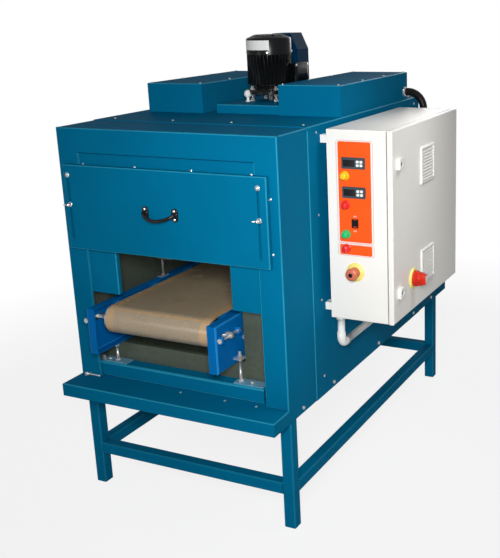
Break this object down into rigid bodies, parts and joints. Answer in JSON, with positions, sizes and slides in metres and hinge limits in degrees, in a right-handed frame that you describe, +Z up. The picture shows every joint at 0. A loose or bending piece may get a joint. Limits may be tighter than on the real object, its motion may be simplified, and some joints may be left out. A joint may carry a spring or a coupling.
{
  "type": "conveyor reflow oven",
  "caption": "Floor-standing blue sheet-steel conveyor oven on a tube frame, with a mesh belt, sliding end gates, a roof fan motor and a side control enclosure.",
  "frame": {"origin": "on the floor under the centre of the overall outline", "axes": "+X towards the control enclosure's side (the oven's right seen from the front), +Y from the front shelf to the exit shelf, +Z up"},
  "size_m": [1.088, 1.534, 1.5],
  "materials": {
    "teal_paint": "gloss teal-blue powder coat",
    "royal_paint": "gloss royal-blue paint",
    "galvanised": "galvanised sheet, dull spangle",
    "bright_steel": "zinc-plated and turned bright steel",
    "roller_steel": "turned steel",
    "belt_mesh": "coated woven glass belt, matt",
    "wool": "mineral wool board",
    "heater_sheath": "heat-tinted sheath",
    "black_paint": "semi-gloss black",
    "black_plastic": "black moulded plastic",
    "flue_paint": "dark blue paint",
    "box_paint": "pale grey textured powder coat",
    "vent_plastic": "pale moulded plastic",
    "fascia_film": "orange printed film",
    "meter_plastic": "dark moulded bezel",
    "lamp_lens": "tinted lenses in plastic rings",
    "yellow_plastic": "yellow moulded plastic",
    "red_plastic": "red moulded plastic",
    "drive_paint": "dark grey casting paint",
    "pipe_plastic": "white plastic pipe",
    "lock_metal": "dark zinc die-casting"
  },
  "bodies": {
    "oven": {"legs": "teal_paint", "stretchers": "teal_paint", "top_rails": "teal_paint", "floor_pan": "galvanised", "shelves": "teal_paint", "front_hood": "teal_paint", "front_panel": "teal_paint", "body_side_left": "teal_paint", "body_side_right": "teal_paint", "body_top": "teal_paint", "exit_hood": "teal_paint", "exit_panel": "teal_paint", "recessed_covers": "teal_paint", "baffle_plates": "teal_paint", "gate_studs": "bright_steel", "tunnel_liner": "galvanised", "air_boxes": "galvanised", "heater_rods": "heater_sheath", "insulation": "wool", "conveyor_side_left": "royal_paint", "conveyor_side_right": "royal_paint", "conveyor_bed": "royal_paint", "belt": "belt_mesh", "take_up_screws": "bright_steel", "cross_members": "teal_paint", "jacking_rods": "bright_steel", "drive_gearmotor": "drive_paint", "duct_left": "teal_paint", "duct_right": "teal_paint", "motor_tray": "teal_paint", "motor_body": "black_paint", "motor_cowl": "black_paint", "terminal_box": "black_plastic", "motor_studs": "bright_steel", "exhaust_flue": "flue_paint", "enclosure_body": "box_paint", "mounting_plate": "galvanised", "fascia": "fascia_film", "panel_devices": "meter_plastic", "pilot_lamps": "lamp_lens", "stop_base": "yellow_plastic", "conduit": "black_plastic", "trunking": "pipe_plastic"},
    "gate_front": {"gate_front": "teal_paint", "handle_front": "black_plastic"},
    "gate_exit": {"gate_exit": "teal_paint"},
    "wing_nut_front_left": {"wing_nut_front_left": "bright_steel"},
    "wing_nut_front_right": {"wing_nut_front_right": "bright_steel"},
    "wing_nut_exit_left": {"wing_nut_exit_left": "bright_steel"},
    "wing_nut_exit_right": {"wing_nut_exit_right": "bright_steel"},
    "roller_front": {"roller_front": "roller_steel"},
    "roller_drive": {"roller_drive": "roller_steel"},
    "fan_rotor": {"fan_rotor": "roller_steel"},
    "enclosure_door": {"enclosure_door": "box_paint", "door_fittings": "vent_plastic"},
    "isolator_knob": {"isolator_knob": "red_plastic"},
    "door_lock_upper": {"door_lock_upper": "lock_metal"},
    "door_lock_lower": {"door_lock_lower": "lock_metal"},
    "stop_button": {"stop_button": "red_plastic"},
    "rocker_switch": {"rocker_switch": "black_plastic"}
  },
  "joints": [
    {"name": "gate_front_slide", "type": "slide", "parent": "oven", "child": "gate_front", "axis": [0, 0, 1], "range_m": [0, 0.11]},
    {"name": "gate_exit_slide", "type": "slide", "parent": "oven", "child": "gate_exit", "axis": [0, 0, 1], "range_m": [0, 0.11]},
    {"name": "wing_nut_front_left_turn", "type": "hinge", "parent": "oven", "child": "wing_nut_front_left", "pos_m": [-0.495, -0.6941, 1.002], "axis": [0, -1, 0], "range_deg": [0, 180]},
    {"name": "wing_nut_front_right_turn", "type": "hinge", "parent": "oven", "child": "wing_nut_front_right", "pos_m": [0.197, -0.6941, 1.002], "axis": [0, -1, 0], "range_deg": [0, 180]},
    {"name": "wing_nut_exit_left_turn", "type": "hinge", "parent": "oven", "child": "wing_nut_exit_left", "pos_m": [-0.495, 0.6941, 1.002], "axis": [0, 1, 0], "range_deg": [0, 180]},
    {"name": "wing_nut_exit_right_turn", "type": "hinge", "parent": "oven", "child": "wing_nut_exit_right", "pos_m": [0.197, 0.6941, 1.002], "axis": [0, 1, 0], "range_deg": [0, 180]},
    {"name": "drive_roller_turn", "type": "hinge", "parent": "oven", "child": "roller_drive", "pos_m": [-0.191, 0.675, 0.6308], "axis": [1, 0, 0], "continuous": true},
    {"name": "front_roller_turn", "type": "hinge", "parent": "oven", "child": "roller_front", "pos_m": [-0.191, -0.675, 0.6308], "axis": [1, 0, 0], "continuous": true},
    {"name": "fan_turn", "type": "hinge", "parent": "oven", "child": "fan_rotor", "pos_m": [-0.104, -0.068, 1.3], "axis": [0, 0, 1], "continuous": true},
    {"name": "enclosure_door_swing", "type": "hinge", "parent": "oven", "child": "enclosure_door", "pos_m": [0.48, 0.186, 0.9], "axis": [0, 0, 1], "range_deg": [0, 110]},
    {"name": "isolator_turn", "type": "hinge", "parent": "enclosure_door", "child": "isolator_knob", "pos_m": [0.504, -0.257, 0.738], "axis": [1, 0, 0], "range_deg": [0, 90]},
    {"name": "door_lock_upper_turn", "type": "hinge", "parent": "enclosure_door", "child": "door_lock_upper", "pos_m": [0.498, -0.374, 1.128], "axis": [1, 0, 0], "range_deg": [0, 90]},
    {"name": "door_lock_lower_turn", "type": "hinge", "parent": "enclosure_door", "child": "door_lock_lower", "pos_m": [0.498, -0.374, 0.724], "axis": [1, 0, 0], "range_deg": [0, 90]},
    {"name": "stop_press", "type": "slide", "parent": "oven", "child": "stop_button", "axis": [0, 1, 0], "range_m": [0, 0.005]},
    {"name": "rocker_tip", "type": "hinge", "parent": "oven", "child": "rocker_switch", "pos_m": [0.374, -0.419, 0.946], "axis": [1, 0, 0], "range_deg": [0, 18]}
  ],
  "couplings": [
    {"joint": "front_roller_turn", "follows": "drive_roller_turn", "ratio": 1}
  ]
}
